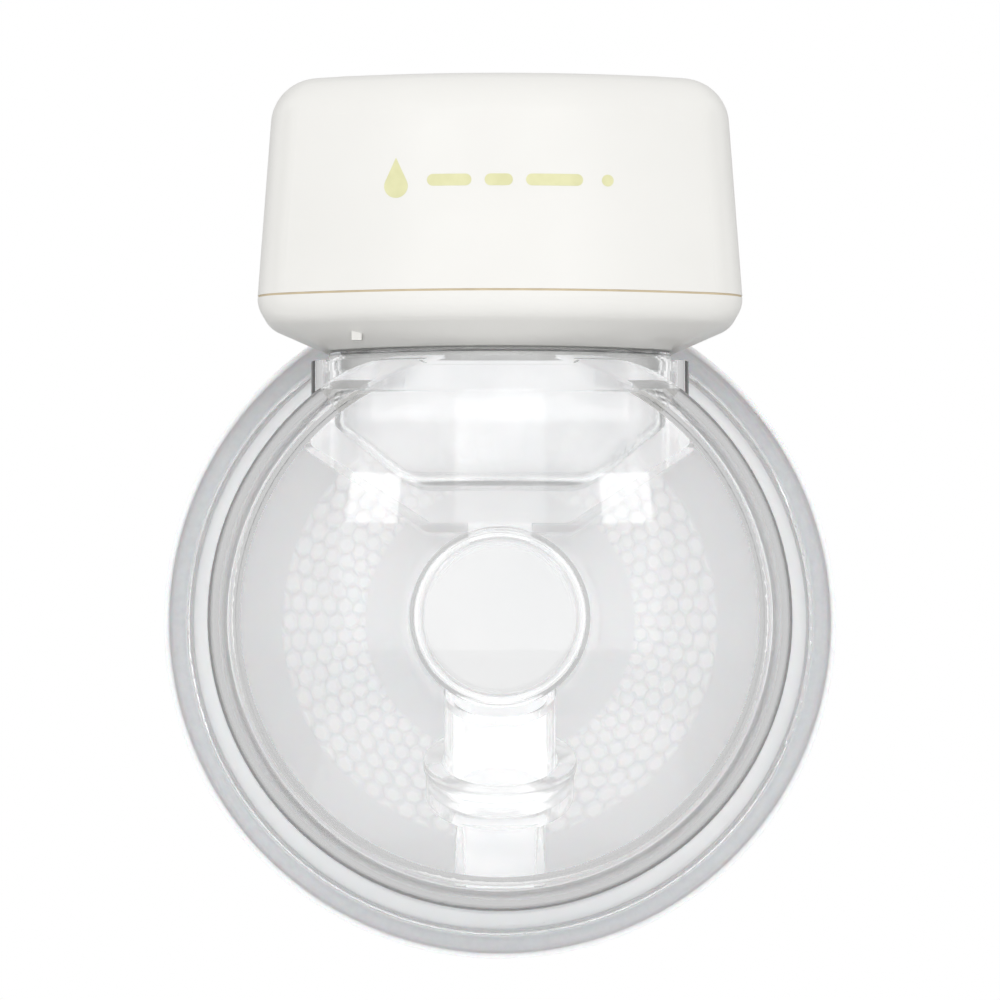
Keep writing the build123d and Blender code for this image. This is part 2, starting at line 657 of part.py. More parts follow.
def board_screws():
    """Screws from below, through the board into the upper housing's bosses."""
    screws = [
        post(x, y, BOARD_Z - 1.1, BOARD_Z, 1.8) + post(x, y, BOARD_Z, 83.5, 0.9)
        for x, y in BOARD_SCREW_XY
    ]
    return Compound(children=screws)


def board_parts():
    """Controller, driver, power coil and battery connector, soldered on the board."""
    top = BOARD_TOP_Z
    chips = [
        block(-9, -2, -23.5, -18.5, top, top + 0.9),
        block(2, 8, -24, -19, top, top + 0.8),
        block(11, 15, -22, -18, top, top + 2.0),
        block(-22, -16, 0.5, 4.5, top, top + 2.4),
        block(-3, 3, 0, 4, top, top + 1.4),
    ]
    chips += [block(x, x + 1.2, -1.8, -1.2, top, top + 0.5) for x in range(8, 22, 3)]
    return Compound(children=chips)


def tact_switches():
    """One small switch under each button."""
    top = BOARD_TOP_Z
    return Compound(
        children=[
            block(x - 1.5, x + 1.5, UNIT_Y - 1.5, UNIT_Y + 1.5, top, top + SWITCH_H)
            for x in BUTTON_X.values()
        ]
    )


def display_module():
    top = BOARD_TOP_Z
    return block(-7.4, 7.4, UNIT_Y - 4.0, UNIT_Y + 4.0, top, TOP_Z - 2.2)


def usb_socket():
    """Charging socket: a drawn metal shell round a thin tongue."""
    x0, x1 = 26.6, 33.4
    shell = port_plan(9.0, SOCKET_H, 1.55)
    hollow = port_plan(8.4, SOCKET_H - 0.6, 1.25)
    outer = extrude(Plane.YZ.offset(x0) * shell, x1 - x0)
    inner = extrude(Plane.YZ.offset(x0 + 1.0) * hollow, x1 - x0)
    tongue = block(x0 + 0.5, x1 - 1.4, PORT_Y - 3.2, PORT_Y + 3.2, PORT_Z - 0.35, PORT_Z + 0.35)
    return outer - inner + tongue


def battery_cell():
    body = block(-28, 20, 0.2, 8.0, BATTERY_BOTTOM_Z, BATTERY_TOP_Z)
    return fillet(body.edges().filter_by(Axis.Z), 2.0)


def battery_pad():
    """Foam strip between the cell and the rear wall."""
    return block(-26, 18, 8.0, 8.8, 53, 70)


# ================================================================ vacuum pump
def pump_motor_can():
    can = rod(CAN_END_X - CAN_L, CAN_END_X, CAN_R)
    can = can & block(-60, 60, PUMP_Y - 8.2, PUMP_Y + 8.2, 40, 90)
    can = can + rod(CAN_END_X - CAN_L - 1.6, CAN_END_X - CAN_L, 3.0) + rod(CAN_END_X, CAN_END_X + 1.2, 3.0)
    return can - rod(CAN_END_X - 6, CAN_END_X + 2, 1.05)


def damping_sleeve():
    """Rubber sleeve that holds the motor can quietly in its cradle."""
    wide = rod(CAN_END_X - 19, CAN_END_X - 4, SLEEVE_R)
    wide = wide & block(-60, 60, PUMP_Y - 9.2, PUMP_Y + 9.2, 40, 90)
    core = rod(-60, 60, CAN_R + 0.05) & block(-60, 60, PUMP_Y - 8.25, PUMP_Y + 8.25, 40, 90)
    return wide - core


def motor_shaft():
    return rod(CAN_END_X - 5, ECCENTRIC_X, 1.0)


def eccentric_wheel():
    wheel = rod(ECCENTRIC_X - 2, ECCENTRIC_X + 2, 4.6) - rod(ECCENTRIC_X - 3, ECCENTRIC_X, 1.0)
    return wheel - crank_cylinder(ECCENTRIC_X + 0.2, 4, 0.75)


def crank_cylinder(x0, x1, radius):
    """Cylinder on the crank's tilted axis, which crosses the pump's axis at the pivot point."""
    place = Pos(PIVOT_X, PUMP_Y, PUMP_Z) * Rot(0, CRANK_TILT, 0)
    return place * Pos((x0 + x1) / 2 - PIVOT_X, 0, 0) * Rot(0, 90, 0) * Cylinder(radius, x1 - x0)


def crank_pin():
    return crank_cylinder(ECCENTRIC_X + 0.2, PIVOT_X - 2.5, 0.75)


def wobble_plate():
    """Nodding plate on the crank pin; its three arms work the rubber cups in turn."""
    hub = crank_cylinder(2.6, 7.9, 2.0) - crank_cylinder(0, PIVOT_X - 2.4, 0.8)
    place = Pos(PIVOT_X, PUMP_Y, PUMP_Z) * Rot(0, CRANK_TILT, 0)
    for angle in (90, 210, 330):
        arm = Rot(angle, 0, 0) * Pos(-3.2, 0, 4.2) * Box(1.6, 3.2, 6.4)
        button_end = Rot(angle, 0, 0) * Pos(-2.7, 0, CUP_CIRCLE_R) * Rot(0, 90, 0) * Cylinder(1.9, 1.8)
        hub += place * (arm + button_end)
    return hub


def at_screws(shape):
    """Places a shape at each of the pump's three screws."""
    place = Pos(0, PUMP_Y, PUMP_Z)
    return [place * Rot(angle, 0, 0) * shape for angle in (30, 150, 270)]


def pump_case():
    """Case between motor and head, open below the wobble plate."""
    shell = rod(CAN_END_X, 11, HEAD_CASE_R) - rod(CAN_END_X + 1.6, 12, HEAD_CASE_R - 1.5)
    shell = shell - rod(CAN_END_X - 1, 0, 3.05)
    shell = shell - block(-2, 6, PUMP_Y - 4, PUMP_Y + 4, PUMP_Z - 20, PUMP_Z - 7)
    for boss in at_screws(Pos(9.25, 0, PUMP_SCREW_CIRCLE_R) * Rot(0, 90, 0) * Cylinder(1.5, 3.5)):
        shell += boss
    return shell


def at_cups(shape_at):
    """Places a shape at each of the three cup positions round the pump's axis."""
    place = Pos(0, PUMP_Y, PUMP_Z)
    return [place * Rot(angle, 0, 0) * shape_at for angle in (90, 210, 330)]


def cup_membrane():
    """Rubber sheet with three cups that the wobble plate pumps."""
    sheet = rod(11, 12, HEAD_CASE_R - 0.1)
    for cup in at_cups(Pos(10.8, 0, CUP_CIRCLE_R) * Rot(0, 90, 0) * Cylinder(2.9, 2.0)):
        sheet += cup
    for hollow in at_cups(Pos(11.4, 0, CUP_CIRCLE_R) * Rot(0, 90, 0) * Cylinder(2.3, 2.4)):
        sheet -= hollow
    return sheet


def valve_plate():
    """Plate with an inlet and outlet hole over each cup."""
    plate = rod(12, 15, HEAD_CASE_R)
    for hole in at_cups(Pos(13.5, 1.0, CUP_CIRCLE_R) * Rot(0, 90, 0) * Cylinder(0.6, 5)):
        plate -= hole
    for hole in at_cups(Pos(13.5, -1.0, CUP_CIRCLE_R) * Rot(0, 90, 0) * Cylinder(0.6, 5)):
        plate -= hole
    return plate - rod(11, 16, 0.8)


def pump_head():
    """Collecting cap with the suction nozzle on its axis."""
    cap = rod(15, HEAD_X, HEAD_CASE_R)
    cap = fillet(cap.edges().sort_by(Axis.X)[-1], 1.5)
    cap = cap - rod(14, HEAD_X - 1.6, HEAD_CASE_R - 4.0)
    cap += rod(HEAD_X, HEAD_X + 2.4, TUBE_BORE_R)
    return cap - rod(18, HEAD_X + 3, 0.7)


def pump_screws():
    """Three long screws through head, plate and membrane into the case."""
    along = Rot(0, 90, 0)
    shank = Pos(15, 0, PUMP_SCREW_CIRCLE_R) * along * Cylinder(0.7, 14)
    head = Pos(22.1, 0, PUMP_SCREW_CIRCLE_R) * along * Cylinder(1.3, 1.2)
    return at_screws(shank + head)


def vacuum_tube(*points):
    """Soft tube along a route with round bends."""
    route = FilletPolyline(*points, radius=TUBE_BEND_R)
    ring = Circle(TUBE_R) - Circle(TUBE_BORE_R)
    return sweep(Plane(route @ 0, z_dir=route % 0) * ring, path=route)


def vacuum_tubes():
    """Tubes from pump head and port block to the tee, and from the tee to the release valve."""
    upper = vacuum_tube(
        (HEAD_X + 0.2, PUMP_Y, PUMP_Z),
        (TUBE_LEG_X, PUMP_Y, PUMP_Z),
        (TUBE_LEG_X, PUMP_Y, TEE_Z + TEE_HALF_HEIGHT),
    )
    lower = vacuum_tube(
        (TUBE_LEG_X, PUMP_Y, TEE_Z - TEE_HALF_HEIGHT),
        (TUBE_LEG_X, PUMP_Y, PORT_BLOCK_Z),
        (PORT_BLOCK_X + 0.2, PUMP_Y, PORT_BLOCK_Z),
    )
    gap_y = (PUMP_Y + 2.2, RELEASE_Y0 - 0.2)
    short = Pos(TUBE_LEG_X, sum(gap_y) / 2, TEE_Z) * Rot(90, 0, 0) * (
        Cylinder(TUBE_R, gap_y[1] - gap_y[0]) - Cylinder(TUBE_BORE_R, 12)
    )
    return Compound(children=[upper, lower, short])


def tube_tee():
    """Moulded tee that joins pump, port and release valve."""
    upright = post(TUBE_LEG_X, PUMP_Y, TEE_Z - 3.5, TEE_Z + 3.5, TUBE_BORE_R)
    collar = post(TUBE_LEG_X, PUMP_Y, TEE_Z - TEE_HALF_HEIGHT, TEE_Z + TEE_HALF_HEIGHT, 2.1)
    branch = Pos(TUBE_LEG_X, PUMP_Y + 2, TEE_Z) * Rot(90, 0, 0) * Cylinder(TUBE_BORE_R, 4)
    bore = post(TUBE_LEG_X, PUMP_Y, TEE_Z - 4, TEE_Z + 4, 0.75)
    branch_bore = Pos(TUBE_LEG_X, PUMP_Y + 2.5, TEE_Z) * Rot(90, 0, 0) * Cylinder(0.6, 5)
    return upright + collar + branch - bore - branch_bore


# Release valve that lets air back in at the end of each suction stroke.
RELEASE_X, RELEASE_Y, RELEASE_HALF = 27.5, -4.5, 4.6
RELEASE_Y0 = RELEASE_Y - RELEASE_HALF
RELEASE_Z = (50.0, 64.0)


def release_valve_body():
    x0, x1 = RELEASE_X - RELEASE_HALF, RELEASE_X + RELEASE_HALF
    body = block(x0, x1, RELEASE_Y0, RELEASE_Y + RELEASE_HALF, *RELEASE_Z)
    body = body - post(RELEASE_X, RELEASE_Y, RELEASE_Z[0] + 3, RELEASE_Z[1] + 1, 2.6)
    nozzle = Pos(TUBE_LEG_X, RELEASE_Y0 - 1, TEE_Z) * Rot(90, 0, 0) * Cylinder(TUBE_BORE_R, 2)
    drilling = Pos(TUBE_LEG_X, RELEASE_Y0 - 1.2, TEE_Z) * Rot(90, 0, 0) * Cylinder(0.6, 7)
    return body + nozzle - drilling


def release_plunger():
    """Steel core of the release valve, with a rubber tip below."""
    stem = post(RELEASE_X, RELEASE_Y, RELEASE_Z[0] + 5.2, RELEASE_Z[1] + 2.2, 2.5)
    return stem + post(RELEASE_X, RELEASE_Y, RELEASE_Z[1] + 2.2, RELEASE_Z[1] + 3.0, 4.0)


def release_spring():
    """Return spring between the valve body and the plunger's head."""
    helix = Helix(pitch=0.9, height=1.5, radius=3.3, center=(RELEASE_X, RELEASE_Y, RELEASE_Z[1] + 0.35))
    wire = Plane(helix @ 0, z_dir=helix % 0) * Circle(0.2)
    return sweep(wire, path=helix)


def wire(points, radius, bend):
    """Insulated wire along a route with round bends."""
    route = FilletPolyline(*points, radius=bend)
    return sweep(Plane(route @ 0, z_dir=route % 0) * Circle(radius), path=route)


def battery_leads():
    """Two wires from the cell's top to the connector on the board's underside."""
    return Compound(
        children=[
            wire([(x, 4.0, BATTERY_TOP_Z), (x, 4.0, 75.1), (x, -0.5, 75.1), (x, -0.5, BOARD_Z)], 0.4, 0.8)
            for x in (-20.0, -18.4)
        ]
    )


# ================================================================ build
def button_part(name):
    """A named button in its place."""
    return button(BUTTON_X[name], MARKS[name]())


def solids_of(shape):
    return Compound(children=[s for s in shape.solids()]) if len(shape.solids()) > 1 else shape.solids()[0]


def build():
    parts = {
        "silicone_flange": silicone_flange(),
        "linker": linker(),
        "suction_diaphragm": suction_diaphragm(),
        "duckbill_valve": duckbill_valve(),
        "milk_cup": milk_cup(),
        "upper_housing": upper_housing(),
        "lower_housing": lower_housing(),
        "seam_gasket": seam_gasket(),
        "housing_screws": housing_screws(),
        "control_panel": control_panel(),
        "display_window": display_window(),
        "keypad_mat": keypad_mat(),
        "port_cover": port_cover(),
        "main_board": main_board(),
        "board_screws": board_screws(),
        "board_parts": board_parts(),
        "tact_switches": tact_switches(),
        "display_module": display_module(),
        "usb_socket": usb_socket(),
        "battery_cell": battery_cell(),
        "battery_pad": battery_pad(),
        "battery_leads": battery_leads(),
        "pump_motor_can": pump_motor_can(),
        "damping_sleeve": damping_sleeve(),
        "motor_shaft": motor_shaft(),
        "eccentric_wheel": eccentric_wheel(),
        "crank_pin": crank_pin(),
        "wobble_plate": wobble_plate(),
        "pump_case": pump_case(),
        "cup_membrane": cup_membrane(),
        "valve_plate": valve_plate(),
        "pump_head": pump_head(),
        "vacuum_tubes": vacuum_tubes(),
        "tube_tee": tube_tee(),
        "release_valve_body": release_valve_body(),
        "release_plunger": release_plunger(),
        "release_spring": release_spring(),
    }
    for name in BUTTON_X:
        parts[name] = button_part(name)
    screws = pump_screws()
    for name in ("pump_case", "cup_membrane", "valve_plate", "pump_head"):
        for screw in screws:
            parts[name] = parts[name] - screw
    parts["pump_screws"] = Compound(children=screws)
    return parts


os.makedirs("parts", exist_ok=True)
for node, shape in build().items():
    export_step(solids_of(shape), f"parts/{node}.step")
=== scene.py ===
import json
from math import cos, hypot, pi, radians, sin, sqrt, tan

import bmesh
import bpy
from mathutils import Matrix, Vector


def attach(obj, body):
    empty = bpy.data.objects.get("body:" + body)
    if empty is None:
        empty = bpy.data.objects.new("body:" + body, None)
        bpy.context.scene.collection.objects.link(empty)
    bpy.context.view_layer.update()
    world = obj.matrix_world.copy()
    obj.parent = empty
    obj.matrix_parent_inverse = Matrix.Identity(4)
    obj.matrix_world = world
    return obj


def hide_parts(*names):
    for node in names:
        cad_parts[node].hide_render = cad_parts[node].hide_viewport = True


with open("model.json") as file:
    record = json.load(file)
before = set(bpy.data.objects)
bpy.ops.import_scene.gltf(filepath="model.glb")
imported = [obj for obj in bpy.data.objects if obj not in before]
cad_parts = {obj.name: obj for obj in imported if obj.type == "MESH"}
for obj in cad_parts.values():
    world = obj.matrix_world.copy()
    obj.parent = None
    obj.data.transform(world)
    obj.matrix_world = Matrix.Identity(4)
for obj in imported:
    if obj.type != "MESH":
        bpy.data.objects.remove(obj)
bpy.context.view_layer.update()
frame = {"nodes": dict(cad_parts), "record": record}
NODES = frame["nodes"]
MM = 0.001

# Sizes below are in millimetres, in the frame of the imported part: X right, Y towards the wearer, Z up.

# ---------------------------------------------------------------- silicone flange
TUNNEL_R = 12.0
TUNNEL_FRONT_Y = -17.0
TUNNEL_WALL = 0.9
CONE_ANGLE = radians(60)
CONE_START = (14.5, 4.33)  # radius and y where the straight cone begins
SILICONE = 1.6
FLANGE_R = 56.0
FLANGE_BACK_Y = 27.0
LIP_FRONT_Y = 14.8
LIP_WALL = 1.0
SEAT_R = 51.4
SEAT_Y = 21.6
GRIP_FRONT_Y = 18.5
CELL_COLUMNS = 68  # radial columns of cells round the cone
CELL_STEPS = 10  # mesh divisions across one column
CELL_PITCH = 2.57
FINE_STEP = CELL_PITCH / 9  # mesh step along the cone where the cells are
COARSE_STEP = 2.5  # mesh step elsewhere
CELL_RING = (21.9, 35.75)  # radii between which the cells lie
CELL_FIRST_R = 24.2  # radius of the centre of one cell in an even column
CELL_GROOVE = 0.09  # half the groove between cells, as a share of the pitch
CELL_FRONT_HEIGHT = 0.2
CELL_BACK_HEIGHT = 0.35
CELL_SINK = 0.25  # how far the grooves go below the plain skin
CELL_ATTRIBUTE = "cell"  # name under which the mesh keeps where its cells are

# ---------------------------------------------------------------- suction diaphragm
BAG_INSET = 4.6
BAG_HALF_WIDTH = 26.1
BAG_FRONT_R = 33.4
BAG_ARC_Y = 9.0
BAG_BACK_Y = 6.2
BAG_CORNER_R = 4.4
BAG_WALL = 1.3
BAG_TOP_Z = 43.3
BAG_RIM_Z = 42.6
BAG_SHOULDER = (25.9, 31.0)  # half width and height where the sides begin to slope in
BAG_FOOT = (14.2, 21.0)
BAG_FOOT_ROUND = 3.0
BAG_BEAD = BAG_INSET - 2.95  # how far the rim's bead stands out of the skirt
BAG_BEAD_ROUND = 0.3
BAG_SIDE_Z = (26, 28.5, 29.5, 30.2, 31, 31.8, 32.5, 35, 38, 41)  # mesh levels between foot and rim
BAG_POINTS = 144  # mesh points round one level
FRONT_POINTS = 9  # points that draw the bulged front of one level
FOOT_STEPS = 5  # mesh steps round the foot's edge
FLOOR_RINGS = 6  # rings that close the bag's flat bottom
PLATE_OFFSET = 4.0  # how far the diaphragm's back stays in front of the cone

# ---------------------------------------------------------------- duckbill valve
VALVE_TOP = Vector((0.0, -13.5, -22.5))
VALVE_TILT = radians(27)

# ---------------------------------------------------------------- pump unit
SEAM_Z = 52.15
UNIT_TOP_Z = 87.5
UNIT_Y = -10.5
UNIT_FRONT_R = 68.0
UNIT_FRONT_CENTRE_Y = 35.0
UNIT_DRAFT = radians(4.2)
MARK_Z = 69.6
KEY_X = {"power_key": -23.5, "mode_key": -13.5, "minus_key": 13.5, "plus_key": 23.5}
ICON_Z = UNIT_TOP_Z + 0.70


# ================================================================ materials
def noise(tree, coords, scale, detail):
    """Output of a noise texture over these coordinates."""
    node = tree.nodes.new("ShaderNodeTexNoise")
    node.inputs["Scale"].default_value = scale
    node.inputs["Detail"].default_value = detail
    tree.links.new(coords, node.inputs["Vector"])
    return node.outputs["Fac"]


def spread(tree, value, low, high):
    """Noise, which is mostly between 0.3 and 0.7, stretched to run from low to high."""
    node = tree.nodes.new("ShaderNodeMapRange")
    node.inputs["From Min"].default_value = 0.3
    node.inputs["From Max"].default_value = 0.7
    node.inputs["To Min"].default_value = low
    node.inputs["To Max"].default_value = high
    tree.links.new(value, node.inputs["Value"])
    return node.outputs["Result"]


def stretched(tree, coords, stretch):
    """Coordinates scaled along each axis, for a grain that runs one way."""
    node = tree.nodes.new("ShaderNodeMapping")
    node.inputs["Scale"].default_value = stretch
    tree.links.new(coords, node.inputs["Vector"])
    return node.outputs["Vector"]


def finish(name, colours, rough, patch, grain, height, stretch=None, detail=2.0, **sockets):
    """Principled material: two colours and a roughness range mottled together, over a fine bump.

    patch and grain are noise scales per metre, height is the bump in millimetres.
    """
    material = bpy.data.materials.new(name)
    material.use_nodes = True
    tree = material.node_tree
    shader = tree.nodes["Principled BSDF"]
    coords = tree.nodes.new("ShaderNodeTexCoord").outputs["Object"]
    if stretch:
        coords = stretched(tree, coords, stretch)
    patches = noise(tree, coords, patch, detail)
    mix = tree.nodes.new("ShaderNodeMix")
    mix.data_type = "RGBA"
    mix.inputs["A"].default_value = (*colours[0], 1)
    mix.inputs["B"].default_value = (*colours[1], 1)
    tree.links.new(spread(tree, patches, 0, 1), mix.inputs["Factor"])
    tree.links.new(mix.outputs["Result"], shader.inputs["Base Color"])
    tree.links.new(spread(tree, patches, *rough), shader.inputs["Roughness"])
    bump = tree.nodes.new("ShaderNodeBump")
    bump.inputs["Strength"].default_value = 1.0
    bump.inputs["Distance"].default_value = height * MM
    tree.links.new(noise(tree, coords, grain, 3.0), bump.inputs["Height"])
    tree.links.new(bump.outputs["Normal"], shader.inputs["Normal"])
    for socket, value in sockets.items():
        shader.inputs[socket.replace("_", " ")].default_value = value
    return material


def paint_cell_glow_and_groove_shade(material, elsewhere, glow):
    """Paints light and shade by the cells: painted shade darkens the grooves between the raised cells, and a
    painted glow lights the whole skin, brighter on the cells.

    elsewhere multiplies the base colour off the cells as painted shade, glow is the painted emission off and
    on a cell.
    """
    tree = material.node_tree
    shader = tree.nodes["Principled BSDF"]
    base = shader.inputs["Base Color"]
    cell = tree.nodes.new("ShaderNodeAttribute")
    cell.attribute_name = CELL_ATTRIBUTE
    mix = tree.nodes.new("ShaderNodeMix")
    mix.data_type = "RGBA"
    # painted shade: the base colour is multiplied darker in the grooves off the cells
    mix.blend_type = "MULTIPLY"
    tree.links.new(base.links[0].from_socket, mix.inputs["A"])
    mix.inputs["B"].default_value = (*elsewhere, 1)
    flip = tree.nodes.new("ShaderNodeMapRange")
    flip.inputs["To Min"].default_value = 1.0
    flip.inputs["To Max"].default_value = 0.0
    tree.links.new(cell.outputs["Fac"], flip.inputs["Value"])
    tree.links.new(flip.outputs["Result"], mix.inputs["Factor"])
    tree.links.new(mix.outputs["Result"], base)
    # painted glow: emission strength rising from the grooves to the cells
    painted_glow_ramp = tree.nodes.new("ShaderNodeMapRange")
    painted_glow_ramp.inputs["To Min"].default_value, painted_glow_ramp.inputs["To Max"].default_value = glow
    tree.links.new(cell.outputs["Fac"], painted_glow_ramp.inputs["Value"])
    tree.links.new(painted_glow_ramp.outputs["Result"], shader.inputs["Emission Strength"])


FINISHES = {
    "housing_white": finish(
        "satin_shell", ((0.725, 0.718, 0.693), (0.71, 0.703, 0.678)), (0.30, 0.38), 60, 2600, 0.004
    ),
    "seam_beige": finish(
        "beige_seam", ((0.60, 0.50, 0.34), (0.52, 0.43, 0.29)), (0.5, 0.6), 300, 3000, 0.01
    ),
    "clear_cup": finish(
        "clear_moulding",
        ((1.0, 1.0, 1.0), (0.985, 0.99, 0.993)),
        (0.0, 0.015),
        25,
        60,
        0.003,
        Transmission_Weight=1.0,
        IOR=1.46,
    ),
    "clear_linker": finish(
        "hazy_moulding_painted_glow",
        ((1.0, 1.0, 1.0), (0.975, 0.982, 0.985)),
        (0.05, 0.11),
        40,
        120,
        0.004,
        Transmission_Weight=1.0,
        IOR=1.46,
        # white emission: a painted glow that brightens the clear linker
        Emission_Color=(1.0, 1.0, 1.0, 1.0),
        Emission_Strength=0.075,
    ),
    "milky_silicone": finish(
        "milky_silicone",
        ((0.97, 0.978, 0.985), (0.9, 0.91, 0.918)),
        (0.42, 0.55),
        900,
        2400,
        0.012,
        detail=4.0,
        Subsurface_Weight=0.25,
        Subsurface_Scale=0.0015,
        IOR=1.41,
        # white emission for a painted glow, its strength set by the cell mask below
        Emission_Color=(1.0, 1.0, 1.0, 1.0),
    ),
    "thin_silicone": finish(
        "thin_silicone",
        ((1.0, 1.0, 1.0), (0.95, 0.957, 0.962)),
        (0.12, 0.22),
        120,
        1500,
        0.006,
        Transmission_Weight=1.0,
        IOR=1.41,
        # white emission: a faint painted glow on the thin diaphragm silicone
        Emission_Color=(1.0, 1.0, 1.0, 1.0),
        Emission_Strength=0.015,
    ),
    "white_rubber": finish(
        "white_rubber", ((0.82, 0.81, 0.78), (0.77, 0.76, 0.73)), (0.5, 0.62), 200, 2400, 0.01
    ),
    "panel_gloss": finish(
        "gloss_panel",
        ((0.80, 0.79, 0.76), (0.77, 0.76, 0.73)),
        (0.04, 0.09),
        40,
        900,
        0.0015,
        Coat_Weight=0.6,
    ),
    "lens_smoke": finish(
        "smoked_lens",
        ((0.16, 0.17, 0.18), (0.13, 0.14, 0.15)),
        (0.02, 0.06),
        60,
        800,
        0.001,
        Transmission_Weight=0.7,
    ),
    "display_black": finish(
        "display_glass", ((0.012, 0.013, 0.016), (0.02, 0.02, 0.024)), (0.1, 0.18), 200, 1500, 0.002
    ),
    "key_white": finish(
        "key_plastic", ((0.86, 0.85, 0.82), (0.83, 0.82, 0.79)), (0.36, 0.46), 150, 3000, 0.005
    ),
    "mat_grey": finish("keypad_mat", ((0.33, 0.33, 0.34), (0.27, 0.27, 0.28)), (0.6, 0.75), 200, 2500, 0.02),
    "board_green": finish(
        "circuit_board",
        ((0.012, 0.12, 0.05), (0.02, 0.19, 0.08)),
        (0.25, 0.4),
        700,
        1400,
        0.02,
        stretch=(1, 0.25, 1),
    ),
    "chip_black": finish(
        "chip_resin", ((0.02, 0.02, 0.022), (0.04, 0.04, 0.042)), (0.4, 0.55), 800, 4000, 0.01
    ),
    "steel": finish(
        "machined_steel",
        ((0.62, 0.62, 0.63), (0.5, 0.5, 0.51)),
        (0.18, 0.34),
        900,
        2500,
        0.004,
        stretch=(0.15, 1, 1),
        Metallic=1.0,
    ),
    "cell_wrap": finish("cell_film", ((0.45, 0.5, 0.56), (0.38, 0.43, 0.5)), (0.2, 0.35), 150, 600, 0.03),
    "foam_black": finish(
        "soft_foam", ((0.03, 0.03, 0.032), (0.06, 0.06, 0.062)), (0.8, 0.95), 1500, 1800, 0.15
    ),
    "lead_red": finish(
        "lead_sleeve", ((0.5, 0.02, 0.015), (0.4, 0.015, 0.012)), (0.35, 0.5), 400, 2500, 0.01
    ),
    "pump_black": finish(
        "pump_plastic", ((0.03, 0.031, 0.033), (0.05, 0.05, 0.052)), (0.35, 0.5), 300, 2600, 0.01
    ),
    "pump_white": finish("nylon", ((0.75, 0.74, 0.7), (0.68, 0.67, 0.63)), (0.4, 0.55), 300, 2600, 0.01),
    "brass": finish(
        "turned_brass",
        ((0.72, 0.52, 0.22), (0.6, 0.42, 0.17)),
        (0.2, 0.36),
        900,
        2500,
        0.004,
        stretch=(0.15, 1, 1),
        Metallic=1.0,
    ),
    "tube_clear": finish(
        "clear_tube",
        ((0.9, 0.9, 0.88), (0.84, 0.84, 0.82)),
        (0.1, 0.2),
        300,
        1500,
        0.005,
        Transmission_Weight=0.75,
        IOR=1.42,
    ),
}
# painted shade in the grooves (base colour times about 0.9) and a painted white glow of 0.08 off the cells
# to 0.13 on them
paint_cell_glow_and_groove_shade(FINISHES["milky_silicone"], (0.9, 0.905, 0.91), (0.08, 0.13))
VALVE_SILICONE = finish(
    "valve_silicone",
    ((1.0, 1.0, 1.0), (0.95, 0.957, 0.962)),
    (0.14, 0.24),
    120,
    1500,
    0.006,
    Transmission_Weight=1.0,
    IOR=1.41,
    # white emission: a painted glow that keeps the valve brighter than the flange behind it
    Emission_Color=(1.0, 1.0, 1.0, 1.0),
    Emission_Strength=0.07,
)
MARK_INK = finish("olive_ink", ((0.66, 0.65, 0.385), (0.61, 0.6, 0.34)), (0.45, 0.6), 400, 3500, 0.004)
ICON_INK = finish("grey_ink", ((0.16, 0.16, 0.17), (0.2, 0.2, 0.21)), (0.4, 0.55), 500, 3500, 0.003)
LIT_INK = finish(
    "lit_segments",
    ((0.75, 0.85, 0.9), (0.65, 0.78, 0.85)),
    (0.3, 0.4),
    600,
    2000,
    0.001,
    Emission_Color=(0.6, 0.85, 1.0, 1.0),
    Emission_Strength=1.5,
)
CARD_PAINT = finish(
    "card_paint",
    ((0.0, 0.0, 0.0), (0.01, 0.01, 0.01)),
    (0.9, 1.0),
    3,
    60,
    0.05,
    Emission_Color=(1.0, 1.0, 1.0, 1.0),
    Emission_Strength=0.6,
    Specular_IOR_Level=0.0,
)
FLOOR_PAINT = finish("pale_floor", ((0.86, 0.86, 0.86), (0.83, 0.83, 0.83)), (0.6, 0.8), 3, 60, 0.05)

for part in frame["record"]["subparts"]:
    node = NODES[part["node"]]
    for place in node.material_slots:
        place.material = FINISHES[part["material_slot"]]
    node.data.shade_smooth()


# ================================================================ mesh helpers
def rounded(corners, steps=6):
    """Closed outline through corners (u, v, radius), each corner turned into an arc."""
    points = []
    for i, (u, v, radius) in enumerate(corners):
        corner = Vector((u, v))
        if radius == 0:
            points.append(corner)
            continue
        before = (Vector(corners[i - 1][:2]) - corner).normalized()
        after = (Vector(corners[(i + 1) % len(corners)][:2]) - corner).normalized()
        half = before.angle(after) / 2
        middle = corner + (before + after).normalized() * (radius / sin(half))
        start = corner + before * (radius / tan(half)) - middle
        turn = (pi - 2 * half) * (1 if before.x * after.y - before.y * after.x < 0 else -1)
        for k in range(steps + 1):
            angle = turn * k / steps
            points.append(middle + Matrix.Rotation(angle, 2) @ start)
    return points


def subdivided(outline, step_at):
    """Outline with extra points, so that no edge is longer than step_at(u) allows."""
    points = []
    for i, start in enumerate(outline):
        end = outline[(i + 1) % len(outline)]
        count = max(1, round((end - start).length / step_at((start.x + end.x) / 2)))
        points += [start.lerp(end, k / count) for k in range(count)]
    return points


def new_object(name, vertices, faces, material, body):
    """Mesh object from millimetre vertices, smooth shaded, riding on a body."""
    mesh = bpy.data.meshes.new(name)
    mesh.from_pydata([tuple(c * MM for c in v) for v in vertices], [], faces)
    shell = bmesh.new()
    shell.from_mesh(mesh)
    bmesh.ops.recalc_face_normals(shell, faces=shell.faces)
    shell.to_mesh(mesh)
    shell.free()
    mesh.shade_smooth()
    mesh.materials.append(material)
    piece = bpy.data.objects.new(name, mesh)
    bpy.context.scene.collection.objects.link(piece)
    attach(piece, body)
    return piece


